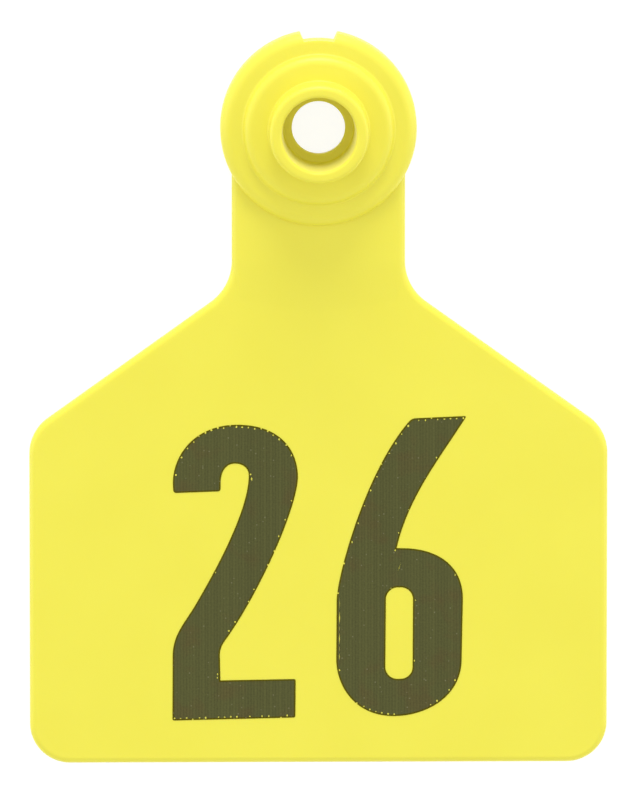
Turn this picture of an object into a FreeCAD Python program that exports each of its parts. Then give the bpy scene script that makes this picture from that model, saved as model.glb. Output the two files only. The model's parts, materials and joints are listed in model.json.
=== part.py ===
"""Livestock ear tag: the front half of a two-piece cattle tag.

One flexible polyurethane moulding: a flat number panel with sloping shoulders, a thicker neck,
and a stepped round boss that takes the tip of the stud that passes through the animal's ear.

Frame, in millimetres: the origin is on the axis of the stud hole, in the plane of the flat back.
+Z points out of the face that is read, and +Y points up the tag, from the panel to the boss.
The mould parts in the plane of the back, so the back's edges are sharp and the front's are round.
"""
import FreeCAD, Part
import math
import os

V = FreeCAD.Vector

# --- Panel: the flat plate that carries the number ---------------------------------------------
PANEL_WIDTH = 76.2           # side to side, 3 inches
PANEL_THICKNESS = 1.4
PANEL_BOTTOM_Y = -84.7       # lower edge
SIDE_TOP_Y = -40.4           # where a side would meet its shoulder
BOTTOM_CORNER_R = 5.3
SIDE_CORNER_R = 5.8
FACE_EDGE_R = 0.85           # rounding of the panel's front edge

# --- Neck: the thicker strap from the boss to the panel ----------------------------------------
NECK_WIDTH = 22.8
NECK_THICKNESS = 1.75        # on the centre line
NECK_CROWN = 0.08            # how much lower its level face is at its sides
NECK_FOOT_Y = -21.25         # where a neck edge would meet its shoulder
NECK_EDGE_WIDTH = 1.6        # its front edge is rounded wider than it is deep
CREASE_Y = -17.8             # the neck is level, and its sides straight, down to here
RAMP_FOOT_Y = -24.4          # where the ramp has come down to the panel's face
RAMP_OVERRUN = 1.6           # how far the ramp carries on inside the panel
RAMP_END_HALF_WIDTH = 11.2   # the ramp narrows a little inside the flaring sides
RAMP_END_EDGE_WIDTH = 0.6

# --- Boss: a flange, a collar and a lip, stepped inwards ---------------------------------------
FLANGE_R = 12.92
FLANGE_TOP_Z = 3.1
FLANGE_CROWN_R = 1.5         # large rounding of the flange's front edge
COLLAR_FOOT_R = 10.08
COLLAR_TOP_R = 9.60          # the collar's wall leans in
COLLAR_TOP_Z = 4.37
COLLAR_CROWN_R = 1.4
LIP_FOOT_R = 6.68
LIP_TOP_R = 6.47             # moulding draft
LIP_TOP_Z = 8.2
LIP_OUTER_CROWN_R = 0.62
LIP_INNER_CROWN_R = 0.42

# --- Bore: a deep chamber for the stud's tip, over a thin ledge --------------------------------
CHAMBER_SEAT_R = 4.70        # parallel wall that centres the tip
CHAMBER_SEAT_TOP_Z = 4.0
CHAMBER_MOUTH_R = 4.94       # above its seat the chamber opens out by the moulding draft
LEDGE_THICKNESS = 1.0        # the stud's barb locks over this ledge
STUD_HOLE_R = 3.5

# --- Locating notch in the top of the flange ---------------------------------------------------
NOTCH_FLOOR_R = 11.8         # its floor is an arc about the hole
NOTCH_FLOOR_HALF_WIDTH = 2.0
NOTCH_MOUTH_HALF_WIDTH = 2.55
NOTCH_CORNER_R = 0.25

# --- Worked out from the values above ----------------------------------------------------------
HALF_PANEL = PANEL_WIDTH / 2
HALF_NECK = NECK_WIDTH / 2
SHOULDER_SLOPE = math.atan2(NECK_FOOT_Y - SIDE_TOP_Y, HALF_PANEL - HALF_NECK)
FLARE_TURN = math.pi / 2 - SHOULDER_SLOPE
FLARE_R = (CREASE_Y - NECK_FOOT_Y) / math.tan(FLARE_TURN / 2)


def rounded_outline(corners):
    """Closed wire along straight lines, with a tangent arc at each corner.

    corners are (x, y, radius) in order round the outline. A corner of radius 0 stays sharp.
    """
    points = [V(x, y, 0) for x, y, _ in corners]
    stations = []
    for i, (_, _, radius) in enumerate(corners):
        here = points[i]
        if radius == 0:
            stations.append((here, None, here))
            continue
        back = (points[i - 1] - here).normalize()
        ahead = (points[(i + 1) % len(points)] - here).normalize()
        half_angle = back.getAngle(ahead) / 2
        tangent = radius / math.tan(half_angle)
        middle = here + (back + ahead).normalize() * (radius / math.sin(half_angle) - radius)
        stations.append((here + back * tangent, middle, here + ahead * tangent))
    edges = []
    for i, (start, middle, end) in enumerate(stations):
        following = stations[(i + 1) % len(stations)][0]
        if middle is not None:
            edges.append(Part.Arc(start, middle, end).toShape())
        if end.distanceToPoint(following) > 1e-6:
            edges.append(Part.LineSegment(end, following).toShape())
    return Part.Wire(edges)


def panel():
    """Number panel with its flaring shoulders, up to the crease across the neck."""
    right = [(HALF_NECK, CREASE_Y, 0), (HALF_NECK, NECK_FOOT_Y, FLARE_R),
             (HALF_PANEL, SIDE_TOP_Y, SIDE_CORNER_R),
             (HALF_PANEL, PANEL_BOTTOM_Y, BOTTOM_CORNER_R)]
    left = [(-x, y, radius) for x, y, radius in reversed(right)]
    plate = Part.Face(rounded_outline(right + left)).extrude(V(0, 0, PANEL_THICKNESS))
    rim = [edge for edge in plate.Edges
           if edge.BoundBox.ZMin > PANEL_THICKNESS / 2
           and edge.BoundBox.YMin < CREASE_Y - PANEL_THICKNESS]
    return plate.makeFillet(FACE_EDGE_R, rim)


def neck_section(y, half_width, top_z, edge_width):
    """Closed cross-section of the neck at y, with a crowned face and rounded front edges."""
    side_z = top_z - NECK_CROWN
    wall_z = PANEL_THICKNESS - FACE_EDGE_R
    flat = half_width - edge_width

    def front_corner(side):
        curve = Part.BezierCurve()
        curve.setPoles([V(side * half_width, y, wall_z), V(side * half_width, y, side_z),
                        V(side * flat, y, side_z)])
        return curve.toShape()

    def wall(side):
        return Part.LineSegment(V(side * half_width, y, 0),
                                V(side * half_width, y, wall_z)).toShape()

    back = Part.LineSegment(V(-half_width, y, 0), V(half_width, y, 0)).toShape()
    face = Part.Arc(V(flat, y, side_z), V(0, y, top_z), V(-flat, y, side_z)).toShape()
    return Part.Wire([back, wall(1), front_corner(1), face, front_corner(-1), wall(-1)])


def neck_strap():
    """Level part of the neck, from inside the boss's wall to the crease."""
    start_y = -(CHAMBER_MOUTH_R + LIP_TOP_R) / 2
    sections = [neck_section(y, HALF_NECK, NECK_THICKNESS, NECK_EDGE_WIDTH)
                for y in (start_y, CREASE_Y)]
    return Part.makeLoft(sections, True, True)


def neck_ramp():
    """Lower part of the neck, which ramps from the crease down to just below the panel's face.

    The face is crowned, so the ramp runs out on the panel along a shallow curve.
    """
    slope = (NECK_THICKNESS - PANEL_THICKNESS) / (CREASE_Y - RAMP_FOOT_Y)
    end_z = PANEL_THICKNESS - slope * RAMP_OVERRUN
    sections = [neck_section(CREASE_Y, HALF_NECK, NECK_THICKNESS, NECK_EDGE_WIDTH),
                neck_section(RAMP_FOOT_Y - RAMP_OVERRUN, RAMP_END_HALF_WIDTH, end_z,
                             RAMP_END_EDGE_WIDTH)]
    return Part.makeLoft(sections, True, True)


def boss():
    """Flange, collar and lip round the bored chamber, as one turned profile."""
    profile = rounded_outline([
        (STUD_HOLE_R, 0, 0),
        (FLANGE_R, 0, 0),
        (FLANGE_R, FLANGE_TOP_Z, FLANGE_CROWN_R),
        (COLLAR_FOOT_R, FLANGE_TOP_Z, 0),
        (COLLAR_TOP_R, COLLAR_TOP_Z, COLLAR_CROWN_R),
        (LIP_FOOT_R, COLLAR_TOP_Z, 0),
        (LIP_TOP_R, LIP_TOP_Z, LIP_OUTER_CROWN_R),
        (CHAMBER_MOUTH_R, LIP_TOP_Z, LIP_INNER_CROWN_R),
        (CHAMBER_SEAT_R, CHAMBER_SEAT_TOP_Z, 0),
        (CHAMBER_SEAT_R, LEDGE_THICKNESS, 0),
        (STUD_HOLE_R, LEDGE_THICKNESS, 0)])
    profile.rotate(V(0, 0, 0), V(1, 0, 0), 90)
    return Part.Face(profile).revolve(V(0, 0, 0), V(0, 0, 1), 360)


def notch():
    """Tool for the locating notch: a flared slot whose floor follows the flange."""
    spread = (NOTCH_MOUTH_HALF_WIDTH - NOTCH_FLOOR_HALF_WIDTH) / (FLANGE_R - NOTCH_FLOOR_R)
    inner_y = NOTCH_FLOOR_R - 1
    outer_y = FLANGE_R + 1
    inner = NOTCH_FLOOR_HALF_WIDTH - spread
    outer = NOTCH_FLOOR_HALF_WIDTH + spread * (outer_y - NOTCH_FLOOR_R)
    plan = rounded_outline([(inner, inner_y, 0), (outer, outer_y, 0),
                            (-outer, outer_y, 0), (-inner, inner_y, 0)])
    overrun = V(0, 0, 1)
    slot = Part.Face(plan).extrude(V(0, 0, FLANGE_TOP_Z) + overrun * 2)
    core = Part.makeCylinder(NOTCH_FLOOR_R, slot.BoundBox.ZLength)
    slot = slot.cut(core)
    slot.translate(-overrun)
    corners = [edge for edge in slot.Edges
               if edge.BoundBox.ZLength > FLANGE_TOP_Z and edge.BoundBox.YMax < FLANGE_R]
    return slot.makeFillet(NOTCH_CORNER_R, corners)


def ear_tag():
    """The whole moulding as one solid."""
    plate = panel().fuse(neck_ramp()).fuse(neck_strap())
    whole = plate.fuse(boss().cut(notch())).removeSplitter()
    return whole.Solids[0]


os.makedirs("parts", exist_ok=True)
tag = ear_tag()
print("volume", round(tag.Volume), "mm3, valid", tag.isValid(), tag.optimalBoundingBox())
tag.exportStep("parts/ear_tag.step")
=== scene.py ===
"""Livestock ear tag, dressed: the yellow moulding, and the number marked on its face.

The shapes are named in millimetres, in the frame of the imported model: the origin is on the axis
of the stud hole in the plane of the flat back, +Z comes out of the face that is read and +Y
points up the tag. Meshes are written in metres.
"""
import json
import logging
import math
from dataclasses import dataclass, field
from enum import Enum

import bmesh
import bpy
from mathutils import Matrix, Vector


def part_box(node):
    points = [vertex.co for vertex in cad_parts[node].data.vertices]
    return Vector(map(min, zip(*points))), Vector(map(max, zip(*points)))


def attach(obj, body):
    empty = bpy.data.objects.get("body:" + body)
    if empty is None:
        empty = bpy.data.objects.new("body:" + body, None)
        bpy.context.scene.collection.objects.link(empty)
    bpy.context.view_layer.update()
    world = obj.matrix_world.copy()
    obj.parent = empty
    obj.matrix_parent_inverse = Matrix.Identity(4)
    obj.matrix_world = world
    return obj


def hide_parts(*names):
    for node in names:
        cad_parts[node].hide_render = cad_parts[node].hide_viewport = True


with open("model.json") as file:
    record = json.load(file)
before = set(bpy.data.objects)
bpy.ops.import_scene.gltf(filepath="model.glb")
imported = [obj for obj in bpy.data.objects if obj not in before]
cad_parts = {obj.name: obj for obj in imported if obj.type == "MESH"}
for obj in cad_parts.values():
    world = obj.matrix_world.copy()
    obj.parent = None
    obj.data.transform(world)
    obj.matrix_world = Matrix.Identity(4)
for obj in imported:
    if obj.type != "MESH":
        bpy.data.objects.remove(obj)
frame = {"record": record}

LOG = logging.getLogger("ear_tag")
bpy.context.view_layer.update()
MM = 0.001
BODY = "root"
NODE = "ear_tag"


# --- Plane geometry, in millimetres ------------------------------------------------------------

def polar(radius: float, angle: float) -> Vector:
    """Point of the plane at a radius and an angle in radians."""
    return Vector((radius * math.cos(angle), radius * math.sin(angle)))


def rounded_outline(corners: list[tuple[float, float, float]],
                    turn_step: float = math.radians(4)) -> list[Vector]:
    """Samples a closed outline of straight lines with a tangent arc at each corner.

    Args:
        corners: (x, y, radius) of each corner, in order. A radius of 0 leaves it sharp.
        turn_step: Largest turn between two points of an arc, in radians.

    Returns:
        The outline's points, in the order of the corners.
    """
    places = [Vector((x, y)) for x, y, _ in corners]
    points = []
    for i, (_, _, radius) in enumerate(corners):
        here = places[i]
        if radius == 0:
            points.append(here)
            continue
        back = (places[i - 1] - here).normalized()
        ahead = (places[(i + 1) % len(places)] - here).normalized()
        half_angle = back.angle(ahead) / 2
        centre = here + (back + ahead).normalized() * (radius / math.sin(half_angle))
        start = here + back * (radius / math.tan(half_angle)) - centre
        turn = (math.pi - 2 * half_angle) * math.copysign(1, back.cross(ahead) * -1)
        steps = max(2, math.ceil(abs(turn) / turn_step))
        for step in range(steps + 1):
            points.append(centre + Matrix.Rotation(turn * step / steps, 2) @ start)
    return [p for i, p in enumerate(points) if (p - points[i - 1]).length > 1e-4]


def inset(points: list[Vector], distance: float) -> list[Vector]:
    """Moves a closed anticlockwise outline inwards by a distance, with mitred corners.

    Args:
        points: The outline.
        distance: How far inwards, smaller than the outline's tightest inner radius.

    Returns:
        As many points as there were.
    """
    moved = []
    for i, here in enumerate(points):
        before = (here - points[i - 1]).normalized()
        after = (points[(i + 1) % len(points)] - here).normalized()
        normals = [Vector((-side.y, side.x)) for side in (before, after)]
        bisector = (normals[0] + normals[1]).normalized()
        moved.append(here + bisector * (distance / max(0.3, bisector.dot(normals[1]))))
    return moved


# --- Meshes ------------------------------------------------------------------------------------

def add_ring(mesh: bmesh.types.BMesh, points: list[Vector], z: float) -> list[bmesh.types.BMVert]:
    """Adds a ring of vertices at one height, from points in millimetres."""
    return [mesh.verts.new(Vector((p.x, p.y, z)) * MM) for p in points]


def join_rings(mesh: bmesh.types.BMesh, first: list[bmesh.types.BMVert],
               second: list[bmesh.types.BMVert]) -> None:
    """Joins two closed rings of as many vertices with quads.

    Args:
        mesh: The working mesh.
        first: One ring.
        second: The other, its vertices in step with the first's.
    """
    count = len(first)
    for i in range(count):
        following = (i + 1) % count
        mesh.faces.new((first[i], first[following], second[following], second[i]))


def stack(rings: list[tuple[list[Vector], float]]) -> bmesh.types.BMesh:
    """Closed solid from flat rings, one over the other, with a flat cap at each end.

    Args:
        rings: The points and the height of each ring, in millimetres, from the lowest up.

    Returns:
        The solid's mesh, its faces pointing outwards.
    """
    mesh = bmesh.new()
    levels = [add_ring(mesh, points, z) for points, z in rings]
    for lower, upper in zip(levels, levels[1:]):
        join_rings(mesh, lower, upper)
    mesh.faces.new(reversed(levels[0]))
    mesh.faces.new(levels[-1])
    return mesh


def turned(profile: list[Vector], segments: int) -> bmesh.types.BMesh:
    """Closed ring of revolution about the Z axis.

    Args:
        profile: (radius, height) points of the closed section, anticlockwise, in millimetres.
        segments: How many times the section is repeated round the axis.

    Returns:
        The ring's mesh, its faces pointing outwards.
    """
    mesh = bmesh.new()
    sections = []
    for step in range(segments):
        turn = polar(1, 2 * math.pi * step / segments)
        sections.append([mesh.verts.new(Vector((p.x * turn.x, p.x * turn.y, p.y)) * MM)
                         for p in profile])
    for step in range(segments):
        join_rings(mesh, sections[step], sections[(step + 1) % segments])
    bmesh.ops.recalc_face_normals(mesh, faces=mesh.faces)
    return mesh


def lofted(sections: list[list[Vector]]) -> bmesh.types.BMesh:
    """Closed solid through cross-sections, with a flat cap at each end.

    Args:
        sections: The points of each section, as many in each, in millimetres.

    Returns:
        The solid's mesh, its faces pointing outwards.
    """
    mesh = bmesh.new()
    rows = [[mesh.verts.new(p * MM) for p in section] for section in sections]
    for first, second in zip(rows, rows[1:]):
        join_rings(mesh, first, second)
    mesh.faces.new(rows[0])
    mesh.faces.new(reversed(rows[-1]))
    bmesh.ops.recalc_face_normals(mesh, faces=mesh.faces)
    return mesh


def as_object(name: str, mesh: bmesh.types.BMesh) -> bpy.types.Object:
    """Turns a working mesh into an object at the origin, linked to the scene.

    Args:
        name: The object's name.
        mesh: The working mesh, which is freed.

    Returns:
        The object.
    """
    data = bpy.data.meshes.new(name)
    mesh.to_mesh(data)
    mesh.free()
    made = bpy.data.objects.new(name, data)
    bpy.context.scene.collection.objects.link(made)
    return made


def evaluated_copy(source: bpy.types.Object) -> bpy.types.Mesh:
    """The mesh of an object with its modifiers worked out."""
    graph = bpy.context.evaluated_depsgraph_get()
    graph.update()
    return bpy.data.meshes.new_from_object(source.evaluated_get(graph), depsgraph=graph,
                                           preserve_all_data_layers=True)


def settle(made: bpy.types.Object) -> None:
    """Replaces an object's mesh by its evaluated one, and removes its modifiers."""
    mesh = evaluated_copy(made)
    made.modifiers.clear()
    spent = made.data
    made.data = mesh
    mesh.name = made.name
    bpy.data.meshes.remove(spent)


class Joining(Enum):
    """How one solid is joined with another."""

    UNION = "UNION"
    DIFFERENCE = "DIFFERENCE"


def combine(body: bpy.types.Object, tool: bpy.types.Object, how: Joining) -> None:
    """Adds one solid to another or takes it away, and removes the tool from the scene.

    Args:
        body: The solid that is kept.
        tool: The solid that is added or taken away.
        how: Which of the two.
    """
    modifier = body.modifiers.new("combine", "BOOLEAN")
    modifier.operation = how.value
    modifier.solver = "MANIFOLD"
    modifier.object = tool
    settle(body)
    bpy.data.objects.remove(tool)


# --- Finishes ----------------------------------------------------------------------------------

@dataclass
class NodeSheet:
    """Small helper that adds and links the nodes of one tree."""

    tree: bpy.types.NodeTree

    def add(self, kind: str, **settings) -> bpy.types.Node:
        """Adds a node and sets its properties.

        Args:
            kind: The node's Blender type.
            **settings: Property names and values.

        Returns:
            The new node.
        """
        node = self.tree.nodes.new(kind)
        for name, value in settings.items():
            setattr(node, name, value)
        return node

    def link(self, source: bpy.types.NodeSocket, target: bpy.types.NodeSocket) -> None:
        """Links an output to an input."""
        self.tree.links.new(source, target)

    def feed(self, target: bpy.types.NodeSocket, value: object) -> None:
        """Links an output to an input, or sets the input to a plain value."""
        if isinstance(value, bpy.types.NodeSocket):
            self.link(value, target)
        else:
            target.default_value = value

    def math(self, operation: str, first: object, second: object = 0.0) -> bpy.types.NodeSocket:
        """Adds a Math node.

        Args:
            operation: The Math node's operation.
            first: Its first operand, an output or a number.
            second: Its second operand, an output or a number.

        Returns:
            The result's output.
        """
        node = self.add("ShaderNodeMath", operation=operation)
        self.feed(node.inputs[0], first)
        self.feed(node.inputs[1], second)
        return node.outputs[0]

    def fit(self, value: object, span: tuple[float, float],
            target: tuple[float, float]) -> bpy.types.NodeSocket:
        """Maps a span of values onto another, held at both ends.

        Args:
            value: The value, an output or a number.
            span: The bounds that it comes in.
            target: The bounds that it is mapped onto.

        Returns:
            The result's output.
        """
        node = self.add("ShaderNodeMapRange")
        self.feed(node.inputs["Value"], value)
        for name, number in zip(("From Min", "From Max", "To Min", "To Max"), (*span, *target)):
            node.inputs[name].default_value = number
        return node.outputs["Result"]

    def blend(self, factor: object, first: object, second: object) -> bpy.types.NodeSocket:
        """Mixes two colours.

        Args:
            factor: 0 for the first colour, 1 for the second.
            first: An output or a colour.
            second: An output or a colour.

        Returns:
            The result's output.
        """
        node = self.add("ShaderNodeMix", data_type="RGBA")
        self.feed(node.inputs["Factor"], factor)
        self.feed(node.inputs[6], first)
        self.feed(node.inputs[7], second)
        return node.outputs[2]

    def noise(self, place: object, size: float, detail: float = 2.0) -> bpy.types.NodeSocket:
        """Adds a Noise texture.

        Args:
            place: The coordinates that it follows.
            size: About how far its features are apart, in millimetres.
            detail: How many finer layers it has.

        Returns:
            The noise, from 0 to 1.
        """
        node = self.add("ShaderNodeTexNoise")
        self.feed(node.inputs["Vector"], place)
        node.inputs["Scale"].default_value = 1 / (size * MM)
        node.inputs["Detail"].default_value = detail
        return node.outputs["Fac"]


class MouldGrain:
    """Shader node group: the fine matte grain and the slow unevenness of a moulded face."""

    NAME = "mould_grain"
    GRAIN_SIZE = 0.16
    FLOW_SIZE = 14.0

    def tree(self) -> bpy.types.NodeTree:
        """The group, built at its first use.

        Returns:
            The group's tree, with Place, Grain and Flow in, and Height and Tone out.
        """
        if self.NAME in bpy.data.node_groups:
            return bpy.data.node_groups[self.NAME]
        group = bpy.data.node_groups.new(self.NAME, "ShaderNodeTree")
        sockets = group.interface
        sockets.new_socket("Place", in_out="INPUT", socket_type="NodeSocketVector")
        sockets.new_socket("Grain", in_out="INPUT", socket_type="NodeSocketFloat")
        sockets.new_socket("Flow", in_out="INPUT", socket_type="NodeSocketFloat")
        sockets.new_socket("Height", in_out="OUTPUT", socket_type="NodeSocketFloat")
        sockets.new_socket("Tone", in_out="OUTPUT", socket_type="NodeSocketFloat")
        sheet = NodeSheet(group)
        entry = sheet.add("NodeGroupInput")
        leave = sheet.add("NodeGroupOutput")
        fine = sheet.noise(entry.outputs["Place"], self.GRAIN_SIZE)
        slow = sheet.noise(entry.outputs["Place"], self.FLOW_SIZE)
        grain = sheet.math("MULTIPLY", sheet.math("SUBTRACT", fine, 0.5), entry.outputs["Grain"])
        flow = sheet.math("MULTIPLY", sheet.math("SUBTRACT", slow, 0.5), entry.outputs["Flow"])
        sheet.link(grain, leave.inputs["Height"])
        sheet.link(sheet.math("ADD", flow, 0.5), leave.inputs["Tone"])
        return group

    def place(self, sheet: NodeSheet, where: bpy.types.NodeSocket, grain: float,
              flow: float) -> bpy.types.Node:
        """Puts the group into a material.

        Args:
            sheet: The material's nodes.
            where: The coordinates that the grain follows.
            grain: How high the fine grain stands, from 0.
            flow: How strong the slow unevenness is, from 0.

        Returns:
            The group's node.
        """
        node = sheet.add("ShaderNodeGroup", node_tree=self.tree())
        sheet.link(where, node.inputs["Place"])
        node.inputs["Grain"].default_value = grain
        node.inputs["Flow"].default_value = flow
        return node


def new_material(name: str) -> tuple[bpy.types.Material, NodeSheet, bpy.types.Node]:
    """Makes a material with a lone Principled BSDF.

    Args:
        name: The material's name.

    Returns:
        The material, its nodes and its Principled BSDF.
    """
    material = bpy.data.materials.new(name)
    material.use_nodes = True
    sheet = NodeSheet(material.node_tree)
    return material, sheet, material.node_tree.nodes["Principled BSDF"]


@dataclass(frozen=True)
class PolyurethaneFinish:
    """Bright yellow flexible polyurethane as it leaves the mould: satin, slightly translucent."""

    base: tuple[float, float, float, float] = (0.880, 0.815, 0.074, 1.0)
    deep: tuple[float, float, float, float] = (0.850, 0.780, 0.064, 1.0)
    roughness: float = 0.46
    translucency: float = 0.18
    scatter: tuple[float, float, float] = (1.0, 0.85, 0.12)
    scatter_depth: float = 1.2
    roughness_swing: float = 0.03
    ior: float = 1.48
    grain: float = 0.5
    flow: float = 1.4
    bump: float = 0.12
    bump_depth: float = 0.02

    def material(self) -> bpy.types.Material:
        """Builds the finish."""
        material, sheet, shader = new_material("tag_polyurethane")
        where = sheet.add("ShaderNodeTexCoord").outputs["Object"]
        grain = MouldGrain().place(sheet, where, self.grain, self.flow)
        colour = sheet.blend(grain.outputs["Tone"], self.deep, self.base)
        sheet.link(colour, shader.inputs["Base Color"])
        sheet.link(sheet.fit(grain.outputs["Tone"], (0.0, 1.0),
                             (self.roughness + self.roughness_swing,
                              self.roughness - self.roughness_swing)),
                   shader.inputs["Roughness"])
        shader.inputs["Subsurface Weight"].default_value = self.translucency
        shader.inputs["Subsurface Radius"].default_value = self.scatter
        shader.inputs["Subsurface Scale"].default_value = self.scatter_depth * MM
        shader.inputs["IOR"].default_value = self.ior
        relief = sheet.add("ShaderNodeBump")
        relief.inputs["Strength"].default_value = self.bump
        relief.inputs["Distance"].default_value = self.bump_depth * MM
        sheet.link(grain.outputs["Height"], relief.inputs["Height"])
        sheet.link(relief.outputs["Normal"], shader.inputs["Normal"])
        return material


@dataclass(frozen=True)
class MarkingFinish:
    """Dark olive marking, laid down in upright lines that still show side by side."""

    name: str = "marking_ink"
    olive: tuple[float, float, float, float] = (0.0836, 0.0858, 0.0229, 1.0)
    brown: tuple[float, float, float, float] = (0.0880, 0.0780, 0.0215, 1.0)
    bare: tuple[float, float, float, float] = (0.2000, 0.1950, 0.1000, 1.0)
    patch_size: float = 3.4
    patch_span: tuple[float, float] = (0.52, 0.68)
    line_pitch: float = 0.405
    line_depth: float = 0.19
    line_spread: float = 0.12
    fleck_size: float = 0.24
    fleck: float = 0.45
    speck_spacing: float = 1.0
    speck_r: float = 0.13
    roughness: float = 0.60
    roughness_swing: float = 0.05
    specular: float = 0.2
    grain: float = 0.8
    bump: float = 0.25
    bump_depth: float = 0.02

    def level(self, sheet: NodeSheet, where: bpy.types.NodeSocket,
              column: bpy.types.NodeSocket) -> bpy.types.NodeSocket:
        """How dark the marking is: its lines, their unevenness and its fine flecks.

        Args:
            sheet: The material's nodes.
            where: The surface's coordinates.
            column: The place across the tag, counted in lines.

        Returns:
            The factor by which the colour is multiplied, about 1.
        """
        chance = sheet.add("ShaderNodeTexWhiteNoise", noise_dimensions="1D")
        sheet.link(sheet.math("FLOOR", column), chance.inputs["W"])
        line = sheet.math("ADD", self.groove(sheet, column, self.line_depth),
                          sheet.fit(chance.outputs["Value"], (0.0, 1.0),
                                    (1 - self.line_spread / 2, 1 + self.line_spread / 2)))
        flecks = sheet.noise(where, self.fleck_size, 1.0)
        return sheet.math("ADD", line,
                          sheet.fit(flecks, (0.0, 1.0), (-self.fleck / 2, self.fleck / 2)))

    def groove(self, sheet: NodeSheet, column: bpy.types.NodeSocket,
               depth: float) -> bpy.types.NodeSocket:
        """Even wave across the lines.

        Args:
            sheet: The material's nodes.
            column: The place across the tag, counted in lines.
            depth: The wave's height from its trough to its crest.

        Returns:
            The wave, with a mean of 0.
        """
        side = sheet.math("ABSOLUTE", sheet.math("SUBTRACT", sheet.math("FRACT", column), 0.5))
        return sheet.fit(side, (0.0, 0.5), (depth / 2, -depth / 2))

    def specks(self, sheet: NodeSheet, where: bpy.types.NodeSocket) -> bpy.types.NodeSocket:
        """Mask of the stray specks that the lines left thin.

        Args:
            sheet: The material's nodes.
            where: The surface's coordinates.

        Returns:
            The mask, 1 in the middle of a speck.
        """
        cells = sheet.add("ShaderNodeTexVoronoi")
        sheet.link(where, cells.inputs["Vector"])
        cells.inputs["Scale"].default_value = 1 / (self.speck_spacing * MM)
        return sheet.fit(cells.outputs["Distance"], (0.0, self.speck_r / self.speck_spacing),
                         (1.0, 0.0))

    def material(self) -> bpy.types.Material:
        """Builds the finish."""
        material, sheet, shader = new_material(self.name)
        where = sheet.add("ShaderNodeTexCoord").outputs["Object"]
        grain = MouldGrain().place(sheet, where, self.grain, 1.0)
        across = sheet.add("ShaderNodeSeparateXYZ")
        sheet.link(where, across.inputs[0])
        column = sheet.math("DIVIDE", across.outputs["X"], self.line_pitch * MM)
        patches = sheet.noise(where, self.patch_size, 3.0)
        colour = sheet.blend(sheet.fit(patches, self.patch_span, (0.0, 1.0)), self.olive,
                             self.brown)
        shade = sheet.add("ShaderNodeHueSaturation")
        sheet.link(colour, shade.inputs["Color"])
        sheet.link(self.level(sheet, where, column), shade.inputs["Value"])
        sheet.link(sheet.blend(self.specks(sheet, where), shade.outputs["Color"], self.bare),
                   shader.inputs["Base Color"])
        sheet.link(sheet.fit(grain.outputs["Tone"], (0.0, 1.0),
                             (self.roughness - self.roughness_swing,
                              self.roughness + self.roughness_swing)),
                   shader.inputs["Roughness"])
        shader.inputs["Specular IOR Level"].default_value = self.specular
        relief = sheet.add("ShaderNodeBump")
        relief.inputs["Strength"].default_value = self.bump
        relief.inputs["Distance"].default_value = self.bump_depth * MM
        sheet.link(sheet.math("ADD", self.groove(sheet, column, 1.0), grain.outputs["Height"]),
                   relief.inputs["Height"])
        sheet.link(relief.outputs["Normal"], shader.inputs["Normal"])
        return material


# --- The moulding ------------------------------------------------------------------------------

@dataclass(frozen=True)
class FrameSizes:
    """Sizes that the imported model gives, in millimetres."""

    half_width: float
    bottom_y: float
    top_z: float
    hole_r: float
    seat_r: float
    ledge_z: float
    seat_top_z: float

    @classmethod
    def read(cls, record: dict) -> "FrameSizes":
        """Reads the sizes from the CAD node's box and the record's mounts.

        Args:
            record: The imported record.

        Returns:
            The sizes.
        """
        low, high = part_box(NODE)
        mounts = {mount["name"]: mount for mount in record["mounts"]}
        hole, seat = mounts["stud_hole"], mounts["tip_chamber"]
        middle = seat["pos_m"][2] / MM
        depth = seat["dims"]["length_mm"]
        return cls(half_width=high[0] / MM, bottom_y=low[1] / MM, top_z=high[2] / MM,
                   hole_r=hole["dims"]["r_mm"], seat_r=seat["dims"]["r_mm"],
                   ledge_z=middle - depth / 2, seat_top_z=middle + depth / 2)


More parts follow.
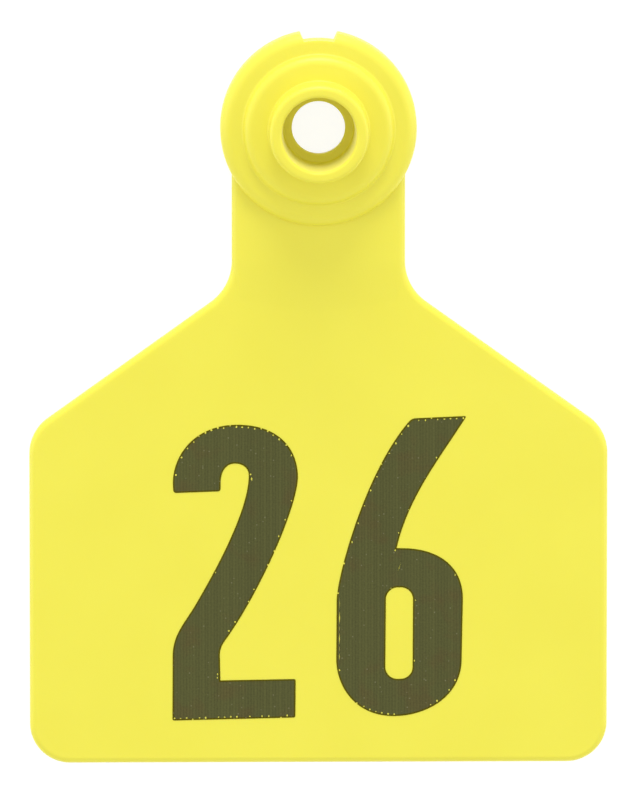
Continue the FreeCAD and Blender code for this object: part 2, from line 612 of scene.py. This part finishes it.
@dataclass
class Boss:
    """Flange, collar and lip, stepped inwards round the chamber for the stud's tip."""

    sizes: FrameSizes
    flange_r: float = 12.92
    flange_z: float = 3.1
    flange_crown: float = 1.5
    collar_foot_r: float = 9.98
    collar_top_r: float = 9.60
    collar_z: float = 4.37
    collar_crown: float = 1.2
    collar_root: float = 0.36
    lip_foot_r: float = 6.58
    lip_top_r: float = 6.47
    lip_root: float = 0.28
    lip_crown: float = 0.62
    mouth_r: float = 4.94
    mouth_crown: float = 0.42
    floor_root: float = 0.3
    ledge_crown: float = 0.18
    notch_floor_r: float = 11.8
    notch_floor_half_width: float = 2.0
    notch_mouth_half_width: float = 2.55
    segments: int = 192

    def turned_body(self) -> bpy.types.Object:
        """The stepped boss before its notch is cut."""
        s = self.sizes
        profile = rounded_outline([
            (s.hole_r, 0, 0),
            (self.flange_r, 0, 0),
            (self.flange_r, self.flange_z, self.flange_crown),
            (self.collar_foot_r, self.flange_z, self.collar_root),
            (self.collar_top_r, self.collar_z, self.collar_crown),
            (self.lip_foot_r, self.collar_z, self.lip_root),
            (self.lip_top_r, s.top_z, self.lip_crown),
            (self.mouth_r, s.top_z, self.mouth_crown),
            (s.seat_r, s.seat_top_z, 0),
            (s.seat_r, s.ledge_z, self.floor_root),
            (s.hole_r, s.ledge_z, self.ledge_crown)], math.radians(11))
        return as_object("boss", turned(profile, self.segments))

    def notch_tool(self) -> bpy.types.Object:
        """The flared slot that is cut in the flange's top, its floor an arc about the hole."""
        spread = ((self.notch_mouth_half_width - self.notch_floor_half_width)
                  / (self.flange_r - self.notch_floor_r))
        outer_y = self.flange_r + 1
        outer = self.notch_floor_half_width + spread * (outer_y - self.notch_floor_r)
        half_angle = math.asin(self.notch_floor_half_width / self.notch_floor_r)
        steps = 16
        floor = [polar(self.notch_floor_r, math.pi / 2 + half_angle * (1 - 2 * step / steps))
                 for step in range(steps + 1)]
        plan = [*floor, Vector((outer, outer_y)), Vector((-outer, outer_y))]
        return as_object("notch", stack([(plan, -1.0), (plan, self.flange_z + 1.0)]))

    def build(self) -> bpy.types.Object:
        """The finished boss."""
        body = self.turned_body()
        combine(body, self.notch_tool(), Joining.DIFFERENCE)
        return body


@dataclass
class Sheet:
    """The flat number panel with its flaring shoulders, and the thicker neck that ramps into it."""

    sizes: FrameSizes
    panel_z: float = 1.4
    side_top_y: float = -40.4
    bottom_corner_r: float = 5.3
    side_corner_r: float = 5.8
    rim_r: float = 0.85
    half_neck: float = 11.4
    neck_z: float = 1.75
    neck_crown: float = 0.08
    neck_foot_y: float = -21.25
    neck_edge: float = 1.6
    neck_start_y: float = -5.7
    crease_y: float = -17.8
    ramp_foot_y: float = -24.4
    ramp_overrun: float = 1.6
    ramp_end_half_width: float = 11.2
    ramp_end_edge: float = 0.6
    step: float = 0.55

    def flare_radius(self) -> float:
        """Radius of the arc from the neck's straight side to the shoulder."""
        slope = math.atan2(self.neck_foot_y - self.side_top_y,
                           self.sizes.half_width - self.half_neck)
        return (self.crease_y - self.neck_foot_y) / math.tan((math.pi / 2 - slope) / 2)

    def panel(self) -> bpy.types.Object:
        """The panel, with a rounded front rim, up to the crease across the neck."""
        wide = self.sizes.half_width
        left = [(-self.half_neck, self.crease_y, 0),
                (-self.half_neck, self.neck_foot_y, self.flare_radius()),
                (-wide, self.side_top_y, self.side_corner_r),
                (-wide, self.sizes.bottom_y, self.bottom_corner_r)]
        right = [(-x, y, radius) for x, y, radius in reversed(left)]
        outline = rounded_outline(left + right, math.radians(3))
        wall_z = self.panel_z - self.rim_r
        rings = [(outline, 0.0)]
        steps = 10
        for step in range(steps + 1):
            turn = math.pi / 2 * step / steps
            rings.append((inset(outline, self.rim_r * (1 - math.cos(turn))),
                          wall_z + self.rim_r * math.sin(turn)))
        return as_object("panel", stack(rings))

    def neck_section(self, y: float, half_width: float, top_z: float, edge: float) -> list[Vector]:
        """Cross-section of the neck, with a flat back and a crowned, round-edged face.

        Args:
            y: Where the section stands.
            half_width: Half its width.
            top_z: Its height on the centre line.
            edge: How wide its front edges are rounded.

        Returns:
            The section's points, from its left back corner.
        """
        side_z = top_z - self.neck_crown
        wall_z = self.panel_z - self.rim_r
        flat = half_width - edge
        corner_steps, face_steps = 8, 16
        corner = []
        for step in range(corner_steps + 1):
            t = step / corner_steps
            corner.append((half_width - edge * t * t, wall_z + (side_z - wall_z) * t * (2 - t)))
        face = []
        for step in range(1, face_steps):
            x = flat * (1 - 2 * step / face_steps)
            face.append((x, side_z + self.neck_crown * (1 - (x / flat) ** 2)))
        right = [(half_width, 0.0), *corner]
        left = [(-x, z) for x, z in reversed(right)]
        return [Vector((x, y, z)) for x, z in right + face + left]

    def neck(self) -> bpy.types.Object:
        """The level strap and the ramp below it, down to just under the panel's face."""
        end_y = self.ramp_foot_y - self.ramp_overrun
        slope = (self.neck_z - self.panel_z) / (self.crease_y - self.ramp_foot_y)
        sections = []
        rows = math.ceil((self.neck_start_y - end_y) / self.step)
        for row in range(rows + 1):
            y = self.neck_start_y + (end_y - self.neck_start_y) * row / rows
            fall = max(0.0, self.crease_y - y)
            t = fall / (self.crease_y - end_y)
            sections.append(self.neck_section(
                y, self.half_neck + (self.ramp_end_half_width - self.half_neck) * t,
                self.neck_z - slope * fall,
                self.neck_edge + (self.ramp_end_edge - self.neck_edge) * t))
        return as_object("neck", lofted(sections))

    def build(self) -> bpy.types.Object:
        """The panel and the neck as one sheet."""
        body = self.panel()
        combine(body, self.neck(), Joining.UNION)
        return body


@dataclass
class Moulding:
    """The whole tag as it leaves the mould: one piece of polyurethane."""

    sheet: Sheet
    boss: Boss
    finish: PolyurethaneFinish = field(default_factory=PolyurethaneFinish)
    sharp_from: float = math.radians(32)
    merge_reach: float = 0.002

    def build(self) -> bpy.types.Object:
        """Builds, smooths and dresses the moulding, and puts it in the CAD node's place."""
        tag = self.sheet.build()
        combine(tag, self.boss.build(), Joining.UNION)
        tag.name = "tag_moulding"
        self.smooth(tag)
        tag.data.materials.clear()
        tag.data.materials.append(self.finish.material())
        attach(tag, BODY)
        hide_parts(NODE)
        return tag

    def smooth(self, tag: bpy.types.Object) -> None:
        """Merges stray points, shades the curves smooth and keeps the flat faces flat."""
        mesh = bmesh.new()
        mesh.from_mesh(tag.data)
        bmesh.ops.remove_doubles(mesh, verts=mesh.verts, dist=self.merge_reach * MM)
        bmesh.ops.dissolve_degenerate(mesh, edges=mesh.edges, dist=self.merge_reach * MM)
        for face in mesh.faces:
            face.smooth = True
        mesh.to_mesh(tag.data)
        mesh.free()
        tag.data.set_sharp_from_angle(angle=self.sharp_from)
        weighting = tag.modifiers.new("weighting", "WEIGHTED_NORMAL")
        weighting.mode = "FACE_AREA"
        weighting.keep_sharp = True
        settle(tag)


# --- The number --------------------------------------------------------------------------------

@dataclass(frozen=True)
class Stretch:
    """One stretch of a digit's outline, which starts where the one before it ends."""

    end: tuple[float, float]
    handles: tuple[tuple[float, float], ...] = ()
    corner: float = 0.0
    gaps: float = 0.0

    def sample(self, start: Vector, step: float) -> list[Vector]:
        """Points along the stretch, a line or a cubic curve.

        Args:
            start: Where it starts.
            step: About how far its points are apart.

        Returns:
            The points, with both its ends.
        """
        poles = [start, *(Vector(handle) for handle in self.handles), Vector(self.end)]
        reach = sum((b - a).length for a, b in zip(poles, poles[1:]))
        count = max(2, math.ceil(reach / step))
        points = []
        for i in range(count + 1):
            t = i / count
            if len(poles) == 2:
                points.append(poles[0].lerp(poles[1], t))
                continue
            weights = ((1 - t) ** 3, 3 * t * (1 - t) ** 2, 3 * t * t * (1 - t), t ** 3)
            points.append(sum((pole * w for pole, w in zip(poles, weights)), Vector((0, 0))))
        return points


class Pinholes:
    """Geometry Nodes tree: pins that cut the bare gaps where marking lines meet the contour.

    A line ends on the contour at even steps across the tag, so upright edges have no gaps.
    """

    NAME = "pinholes"
    FLOATS = ("Pitch", "Inset", "Size", "Depth", "Height", "Nick Chance")

    def tree(self) -> bpy.types.NodeTree:
        """The tree, built at its first use."""
        if self.NAME in bpy.data.node_groups:
            return bpy.data.node_groups[self.NAME]
        group = bpy.data.node_groups.new(self.NAME, "GeometryNodeTree")
        sockets = group.interface
        sockets.new_socket("Outline", in_out="INPUT", socket_type="NodeSocketGeometry")
        for name in self.FLOATS:
            sockets.new_socket(name, in_out="INPUT", socket_type="NodeSocketFloat")
        sockets.new_socket("Seed", in_out="INPUT", socket_type="NodeSocketInt")
        sockets.new_socket("Material", in_out="INPUT", socket_type="NodeSocketMaterial")
        sockets.new_socket("Pins", in_out="OUTPUT", socket_type="NodeSocketGeometry")
        self.wire(NodeSheet(group))
        return group

    def wire(self, sheet: NodeSheet) -> None:
        """Adds and links the tree's nodes.

        Args:
            sheet: The tree's nodes.
        """
        entry = sheet.add("NodeGroupInput")
        given = entry.outputs
        leave = sheet.add("NodeGroupOutput")
        points = sheet.add("GeometryNodeMeshToPoints")
        sheet.link(given["Outline"], points.inputs["Mesh"])
        sheet.link(self.line_ends(sheet, given), points.inputs["Selection"])
        moved = sheet.add("GeometryNodeSetPosition")
        sheet.link(points.outputs[0], moved.inputs["Geometry"])
        sheet.link(self.shift(sheet, given), moved.inputs["Offset"])
        pin = sheet.add("GeometryNodeMeshCylinder")
        pin.inputs["Vertices"].default_value = 10
        sheet.link(given["Size"], pin.inputs["Radius"])
        sheet.link(given["Depth"], pin.inputs["Depth"])
        spread = self.chance(sheet, given, 2, 0.7, 1.3)
        scale = sheet.add("ShaderNodeCombineXYZ")
        sheet.link(spread, scale.inputs["X"])
        sheet.link(self.chance(sheet, given, 3, 0.7, 1.5), scale.inputs["Y"])
        scale.inputs["Z"].default_value = 1.0
        pins = sheet.add("GeometryNodeInstanceOnPoints")
        sheet.link(moved.outputs[0], pins.inputs["Points"])
        sheet.link(pin.outputs["Mesh"], pins.inputs["Instance"])
        sheet.link(scale.outputs[0], pins.inputs["Scale"])
        real = sheet.add("GeometryNodeRealizeInstances")
        sheet.link(pins.outputs[0], real.inputs[0])
        dressed = sheet.add("GeometryNodeSetMaterial")
        sheet.link(real.outputs[0], dressed.inputs["Geometry"])
        sheet.link(given["Material"], dressed.inputs["Material"])
        sheet.link(dressed.outputs[0], leave.inputs["Pins"])

    def chance(self, sheet: NodeSheet, given: bpy.types.bpy_prop_collection, salt: int,
               low: float, high: float) -> bpy.types.NodeSocket:
        """Random number for each point.

        Args:
            sheet: The tree's nodes.
            given: The tree's inputs.
            salt: Keeps this draw apart from the others.
            low: Lower bound.
            high: Upper bound.

        Returns:
            The number's output.
        """
        node = sheet.add("FunctionNodeRandomValue", data_type="FLOAT")
        node.inputs[2].default_value = low
        node.inputs[3].default_value = high
        sheet.link(sheet.math("ADD", given["Seed"], float(salt * 17)), node.inputs["Seed"])
        return node.outputs[1]

    def attribute(self, sheet: NodeSheet, name: str, kind: str) -> bpy.types.NodeSocket:
        """Reads one of the outline's named attributes.

        Args:
            sheet: The tree's nodes.
            name: The attribute's name.
            kind: Its data type.

        Returns:
            The attribute's output.
        """
        node = sheet.add("GeometryNodeInputNamedAttribute", data_type=kind)
        node.inputs["Name"].default_value = name
        return node.outputs["Attribute"]

    def line_ends(self, sheet: NodeSheet,
                  given: bpy.types.bpy_prop_collection) -> bpy.types.NodeSocket:
        """Picks the points at which the outline crosses into another column, by their chance.

        Args:
            sheet: The tree's nodes.
            given: The tree's inputs.

        Returns:
            The selection's output.
        """
        place = sheet.add("ShaderNodeSeparateXYZ")
        sheet.link(sheet.add("GeometryNodeInputPosition").outputs[0], place.inputs[0])
        column = sheet.math("FLOOR", sheet.math("DIVIDE", place.outputs["X"], given["Pitch"]))
        before = sheet.add("GeometryNodeFieldAtIndex", data_type="FLOAT", domain="POINT")
        sheet.link(column, before.inputs["Value"])
        sheet.link(sheet.math("SUBTRACT", sheet.add("GeometryNodeInputIndex").outputs[0], 1.0),
                   before.inputs["Index"])
        step = sheet.math("ABSOLUTE", sheet.math("SUBTRACT", column, before.outputs[0]))
        crossed = sheet.math("GREATER_THAN", step, 0.5)
        wanted = sheet.math("LESS_THAN", self.chance(sheet, given, 1, 0.0, 1.0),
                            self.attribute(sheet, "gap_chance", "FLOAT"))
        return sheet.math("MULTIPLY", crossed, wanted)

    def shift(self, sheet: NodeSheet, given: bpy.types.bpy_prop_collection) -> bpy.types.NodeSocket:
        """How far each pin moves in from the outline, and up to the marking's height.

        Args:
            sheet: The tree's nodes.
            given: The tree's inputs.

        Returns:
            The offset's output.
        """
        nick = sheet.math("LESS_THAN", self.chance(sheet, given, 4, 0.0, 1.0),
                          given["Nick Chance"])
        reach = sheet.math("MULTIPLY", given["Inset"],
                           sheet.math("SUBTRACT", self.chance(sheet, given, 5, 0.9, 1.15),
                                      sheet.math("MULTIPLY", nick, 0.7)))
        inward = sheet.add("ShaderNodeVectorMath", operation="SCALE")
        sheet.link(self.attribute(sheet, "inward", "FLOAT_VECTOR"), inward.inputs[0])
        sheet.link(reach, inward.inputs["Scale"])
        up = sheet.add("ShaderNodeCombineXYZ")
        sheet.link(given["Height"], up.inputs["Z"])
        total = sheet.add("ShaderNodeVectorMath", operation="ADD")
        sheet.link(inward.outputs[0], total.inputs[0])
        sheet.link(up.outputs[0], total.inputs[1])
        return total.outputs[0]


@dataclass
class Digit:
    """One marked digit: a fill of upright lines, and the contour stroke drawn round it."""

    name: str
    outline: tuple[Stretch, ...]
    counters: tuple[tuple[tuple[float, float, float], ...], ...] = ()
    marks: tuple[tuple[float, float, float, float, float], ...] = ()
    seed: int = 1
    face_z: float = 1.4
    sunk: float = 0.04
    fill_rise: float = 0.020
    contour_rise: float = 0.024
    contour_width: float = 0.20
    pitch: float = 0.83
    pin_r: float = 0.105
    pin_inset: float = 0.28
    nick_chance: float = 0.18
    sampling: float = 0.09
    blade_reach: float = 0.2

    def trace(self) -> tuple[list[Vector], list[float]]:
        """Samples the outline, with its corners rounded.

        Returns:
            The outline's points, anticlockwise, and the chance of a gap at each.
        """
        points, gaps = [], []
        start, cut = Vector(self.outline[-1].end), self.outline[-1].corner
        for i, stretch in enumerate(self.outline):
            run = stretch.sample(start, self.sampling)
            middle = [p for p in run if (p - start).length >= cut
                      and (p - run[-1]).length >= stretch.corner]
            points += middle
            gaps += [stretch.gaps] * len(middle)
            if stretch.corner:
                ahead = self.outline[(i + 1) % len(self.outline)].sample(run[-1], self.sampling)
                first = next(p for p in ahead if (p - run[-1]).length >= stretch.corner)
                for step in range(1, 6):
                    t = step / 6
                    points.append(middle[-1] * (1 - t) ** 2 + run[-1] * 2 * t * (1 - t)
                                  + first * t * t)
                    gaps.append(0.0)
            start, cut = run[-1], stretch.corner
        kept = [i for i in range(len(points)) if (points[i] - points[i - 1]).length > 0.01]
        return [points[i] for i in kept], [gaps[i] for i in kept]

    def plate(self, name: str, outline: list[Vector], holes: list[list[Vector]],
              top_z: float) -> bpy.types.Object:
        """Thin closed plate with holes.

        Args:
            name: The object's name.
            outline: The plate's outer edge.
            holes: The edges of its holes.
            top_z: The height of its upper face.

        Returns:
            The plate, its underside sunk into the moulding's face.
        """
        low_z = self.face_z - self.sunk
        body = as_object(name, stack([(outline, low_z), (outline, top_z)]))
        for hole in holes:
            tool = as_object("hole", stack([(hole, low_z - 1), (hole, top_z + 1)]))
            combine(body, tool, Joining.DIFFERENCE)
        return body

    def pins(self, outline: list[Vector], gaps: list[float]) -> bpy.types.Object:
        """Pins at the ends of the marking lines, as one plain mesh.

        Args:
            outline: The digit's outline.
            gaps: The chance of a gap at each of its points.

        Returns:
            The pins.
        """
        edge = bmesh.new()
        ring = add_ring(edge, outline, 0.0)
        for i, corner in enumerate(ring):
            edge.edges.new((ring[i - 1], corner))
        holder = as_object("pins", edge)
        inward = [(b - a) for a, b in zip(outline, inset(outline, 0.01))]
        chance = holder.data.attributes.new("gap_chance", "FLOAT", "POINT")
        chance.data.foreach_set("value", gaps)
        facing = holder.data.attributes.new("inward", "FLOAT_VECTOR", "POINT")
        facing.data.foreach_set("vector", [n for v in inward for n in (*v.normalized(), 0.0)])
        modifier = holder.modifiers.new("pins", "NODES")
        modifier.node_group = Pinholes().tree()
        values = {"Pitch": self.pitch * MM, "Inset": self.pin_inset * MM,
                  "Size": self.pin_r * MM, "Depth": 0.4 * MM, "Height": self.face_z * MM,
                  "Nick Chance": self.nick_chance, "Seed": self.seed}
        for item in modifier.node_group.interface.items_tree:
            if item.name in values:
                modifier[item.identifier] = values[item.name]
        settle(holder)
        return holder

    def blades(self) -> bpy.types.Object:
        """Thin diamond blades that cut the bare marks.

        Each mark is given by its start, its end and its width.

        Returns:
            The blades.
        """
        mesh = bmesh.new()
        for *ends, width in self.marks:
            start, end = Vector(ends[:2]), Vector(ends[2:])
            along = (end - start).normalized()
            across = Vector((-along.y, along.x)) * (width / 2)
            middle = start.lerp(end, 0.5)
            plan = [start, middle - across, end, middle + across]
            levels = [add_ring(mesh, plan, self.face_z + rise)
                      for rise in (-self.blade_reach, self.blade_reach)]
            join_rings(mesh, *levels)
            mesh.faces.new(reversed(levels[0]))
            mesh.faces.new(levels[1])
        return as_object("blades", mesh)

    def build(self, fill: bpy.types.Material, contour: bpy.types.Material) -> bpy.types.Object:
        """Builds the digit and dresses it.

        Args:
            fill: The finish of the filled face.
            contour: The finish of the contour stroke.

        Returns:
            The digit.
        """
        outline, gaps = self.trace()
        holes = [rounded_outline(list(corners), math.radians(8)) for corners in self.counters]
        digit = self.plate(self.name, outline, holes, self.face_z + self.fill_rise)
        stroke = self.plate("stroke", outline, [inset(outline, self.contour_width)],
                            self.face_z + self.contour_rise)
        combine(digit, stroke, Joining.UNION)
        for hole in holes:
            rim = self.plate("rim", inset(hole, -self.contour_width), [hole],
                             self.face_z + self.contour_rise)
            combine(digit, rim, Joining.UNION)
        combine(digit, self.pins(outline, gaps), Joining.DIFFERENCE)
        if self.marks:
            combine(digit, self.blades(), Joining.DIFFERENCE)
        digit.data.materials.clear()
        digit.data.materials.append(fill)
        digit.data.materials.append(contour)
        between = (self.face_z + (self.fill_rise + self.contour_rise) / 2) * MM
        for face in digit.data.polygons:
            face.material_index = int(face.center.z > between)
        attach(digit, BODY)
        return digit


CONTOUR_FINISH = MarkingFinish(name="marking_contour", olive=(0.0930, 0.0800, 0.0008, 1.0),
                               brown=(0.0930, 0.0740, 0.0008, 1.0), specular=0.05)

NUMBER_TWO = Digit(
    name="number_two",
    outline=(
        Stretch((-3.06, -78.60), corner=0.26, gaps=0.9),
        Stretch((-3.01, -73.44), corner=0.26),
        Stretch((-12.95, -73.60)),
        Stretch((-13.03, -70.20)),
        Stretch((-12.05, -67.85), ((-13.03, -69.20), (-12.55, -68.55))),
        Stretch((-2.72, -46.40), ((-7.32, -61.04), (-2.72, -50.09)), gaps=0.75),
        Stretch((-10.70, -39.43), ((-2.72, -42.80), (-5.11, -39.43)), gaps=0.95),
        Stretch((-19.19, -47.20), ((-16.51, -39.43), (-19.19, -43.66)), gaps=0.95),
        Stretch((-19.12, -48.52), corner=0.40),
        Stretch((-12.90, -48.30), corner=0.35),
        Stretch((-12.90, -47.20)),
        Stretch((-11.00, -44.60), ((-12.90, -45.67), (-12.22, -44.60))),
        Stretch((-9.19, -46.20), ((-9.92, -44.60), (-9.19, -45.24))),
        Stretch((-16.29, -63.58), ((-9.19, -50.32), (-12.72, -57.49))),
        Stretch((-19.25, -70.40), ((-17.75, -66.07), (-19.25, -67.49))),
        Stretch((-19.29, -78.96), corner=0.26)),
    marks=((-8.95, -45.90, -8.95, -46.18, 0.26), (-8.82, -46.36, -8.80, -46.96, 0.22),
           (-13.56, -59.05, -13.62, -59.27, 0.16), (-13.33, -72.60, -13.36, -72.95, 0.16),
           (-13.36, -73.08, -13.35, -73.42, 0.18)),
    seed=3)

NUMBER_SIX = Digit(
    name="number_six",
    outline=(
        Stretch((18.90, -70.80), ((14.02, -78.44), (18.90, -76.02)), gaps=0.7),
        Stretch((19.05, -62.80)),
        Stretch((11.20, -55.98), ((19.05, -57.65), (14.81, -55.98)), gaps=0.1),
        Stretch((10.30, -55.95)),
        Stretch((19.52, -38.33), ((11.90, -49.00), (15.90, -44.10)), corner=0.30, gaps=0.2),
        Stretch((12.30, -38.64), corner=0.45, gaps=0.8),
        Stretch((2.40, -63.00), ((6.30, -45.20), (2.40, -59.80)), gaps=0.95),
        Stretch((2.35, -70.80)),
        Stretch((10.00, -78.44), ((2.35, -74.19), (4.64, -78.44)), gaps=0.9)),
    counters=(((8.81, -73.46, 1.6), (12.42, -73.46, 1.6), (12.48, -61.20, 1.6),
               (8.90, -61.20, 1.6)),),
    marks=((2.80, -62.40, 2.78, -64.30, 0.05), (2.78, -64.40, 2.77, -66.20, 0.13),
           (2.77, -66.30, 2.77, -67.10, 0.05), (2.77, -67.20, 2.76, -68.90, 0.11),
           (2.76, -69.00, 2.76, -69.80, 0.05), (2.76, -69.90, 2.76, -71.00, 0.08),
           (10.90, -57.80, 10.40, -59.30, 0.05), (10.11, -56.10, 10.12, -56.40, 0.22),
           (10.54, -53.78, 10.57, -54.04, 0.18), (11.87, -50.72, 11.91, -50.94, 0.16),
           (12.78, -62.80, 12.80, -63.02, 0.15), (12.66, -70.85, 12.66, -71.20, 0.16),
           (9.55, -61.22, 9.58, -61.42, 0.13)),
    seed=8)


# --- The studio --------------------------------------------------------------------------------

@dataclass(frozen=True)
class Lamp:
    """One soft disc lamp that faces the tag."""

    name: str
    azimuth: float
    elevation: float
    power: float
    distance: float = 2600.0
    size: float = 1200.0

    def build(self, target: Vector) -> None:
        """Hangs the lamp. Its azimuth is 0 beyond the tag's top, and 90 on its right.

        Args:
            target: The point that it faces, in millimetres.
        """
        turn, rise = math.radians(self.azimuth), math.radians(self.elevation)
        back = Vector((math.sin(turn) * math.cos(rise), math.cos(turn) * math.cos(rise),
                       math.sin(rise)))
        data = bpy.data.lights.new(self.name, "AREA")
        data.shape = "DISK"
        data.size = self.size * MM
        data.energy = self.power
        lamp = bpy.data.objects.new(self.name, data)
        lamp.rotation_euler = back.to_track_quat("Z", "Y").to_euler()
        lamp.location = (target + back * self.distance) * MM
        bpy.context.scene.collection.objects.link(lamp)


@dataclass
class Studio:
    """White paper under the tag, a soft dome of light, and soft lamps low round its top."""

    target: tuple[float, float, float] = (0.0, -36.15, 1.4)
    distance: float = 2200.0
    tilt: float = math.radians(9.0)
    lean: float = math.radians(0.95)
    view_height: float = 105.35
    sensor: float = 36.0
    paper_white: float = 0.8
    paper_tone: float = 0.26
    paper_glow: float = 0.84
    dome: float = 0.84
    lamps: tuple[Lamp, ...] = (Lamp("top_lamp", 0.0, 16.0, 36.0),
                               Lamp("right_lamp", 90.0, 16.0, 11.0),
                               Lamp("left_lamp", -90.0, 16.0, 11.0))

    def camera(self) -> None:
        """Camera that looks down on the tag, leaning a little towards its top."""
        back = Vector((-math.sin(self.lean), math.sin(self.tilt), math.cos(self.tilt))).normalized()
        right = Vector((0, 1, 0)).cross(back).normalized()
        up = back.cross(right)
        data = bpy.data.cameras.new("camera")
        data.sensor_width = self.sensor
        data.lens = self.sensor * self.distance / self.view_height
        data.clip_start, data.clip_end = 0.1, 10.0
        holder = bpy.data.objects.new("camera", data)
        turn = Matrix((right, up, back)).transposed().to_4x4()
        place = (Vector(self.target) + back * self.distance) * MM
        holder.matrix_world = Matrix.Translation(place) @ turn
        bpy.context.scene.collection.objects.link(holder)
        bpy.context.scene.camera = holder

    def paper(self) -> None:
        """White floor that keeps the tag's shadow."""
        material, sheet, shader = new_material("white_paper")
        shader.inputs["Roughness"].default_value = 0.9
        shader.inputs["Specular IOR Level"].default_value = 0.0
        shader.inputs["Emission Color"].default_value = (1.0, 1.0, 1.0, 1.0)
        seen = sheet.add("ShaderNodeLightPath").outputs
        shows = sheet.math("MAXIMUM", seen["Is Camera Ray"],
                           sheet.math("MAXIMUM", seen["Is Glossy Ray"],
                                      seen["Is Transmission Ray"]))
        sheet.link(sheet.blend(seen["Is Camera Ray"], (*(self.paper_white,) * 3, 1.0),
                               (*(self.paper_tone,) * 3, 1.0)), shader.inputs["Base Color"])
        sheet.link(sheet.math("MULTIPLY", shows, self.paper_glow),
                   shader.inputs["Emission Strength"])
        half = 600.0
        corners = [Vector((x * half, y * half)) for x, y in ((-1, -1), (1, -1), (1, 1), (-1, 1))]
        floor = as_object("paper", stack([(corners, -5.0), (corners, 0.0)]))
        floor.data.materials.append(material)

    def lights(self) -> None:
        """Even dome, and the lamps."""
        world = bpy.data.worlds.new("dome")
        world.use_nodes = True
        sky = world.node_tree.nodes["Background"].inputs
        sky["Color"].default_value = (1.0, 1.0, 1.0, 1.0)
        sky["Strength"].default_value = self.dome
        bpy.context.scene.world = world
        for lamp in self.lamps:
            lamp.build(Vector(self.target))

    def build(self) -> None:
        """Sets up the whole studio."""
        bpy.context.scene.view_settings.view_transform = "Standard"
        self.camera()
        self.paper()
        self.lights()


def main() -> None:
    """Builds the studio and the tag, and logs each piece."""
    logging.basicConfig(level=logging.INFO, format="%(name)s: %(message)s")
    Studio().build()
    sizes = FrameSizes.read(frame["record"])
    moulding = Moulding(Sheet(sizes), Boss(sizes)).build()
    LOG.info("%s: %d faces", moulding.name, len(moulding.data.polygons))
    fill = MarkingFinish().material()
    contour = CONTOUR_FINISH.material()
    for digit in (NUMBER_TWO, NUMBER_SIX):
        made = digit.build(fill, contour)
        LOG.info("%s: %d faces", made.name, len(made.data.polygons))


if __name__ == "__main__":
    main()
